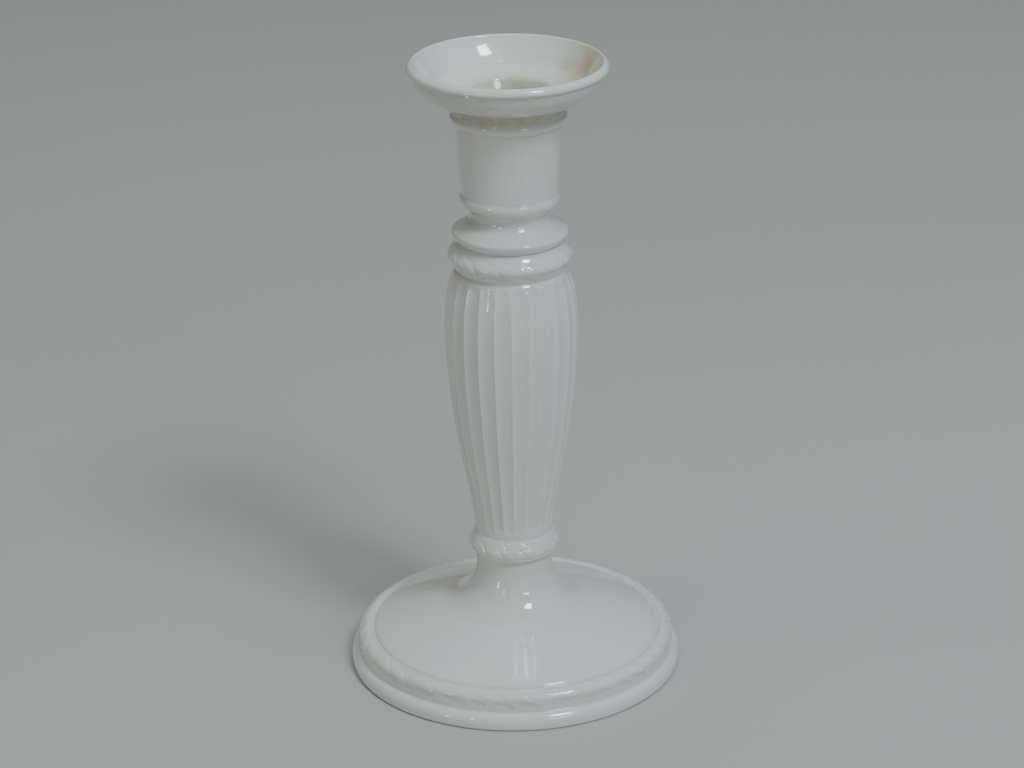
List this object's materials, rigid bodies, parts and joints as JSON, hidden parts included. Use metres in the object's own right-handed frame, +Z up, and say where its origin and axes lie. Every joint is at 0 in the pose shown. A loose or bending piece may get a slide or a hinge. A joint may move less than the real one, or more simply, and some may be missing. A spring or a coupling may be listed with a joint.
{
  "type": "candlestick",
  "caption": "Tall cream glazed candlestick: drip pan and socket for a dinner candle on a fluted column between leaf collars, over a domed round foot with a leaf border.",
  "frame": {"origin": "middle of the foot's resting ring, on the surface it stands on", "axes": "+Z up along the candlestick's axis, out of the candle socket; it is the same all round, so X and Y are free"},
  "size_m": [0.114, 0.114, 0.215],
  "materials": {
    "cream_glaze": "glossy clear glaze over a cream earthenware body, pooled in the grooves"
  },
  "bodies": {
    "root": {"drip_pan": "cream_glaze", "candle_socket": "cream_glaze", "shoulder_knop": "cream_glaze", "upper_leaf_collar": "cream_glaze", "fluted_column": "cream_glaze", "lower_leaf_collar": "cream_glaze", "foot_dome": "cream_glaze", "foot_rim": "cream_glaze"}
  },
  "joints": []
}
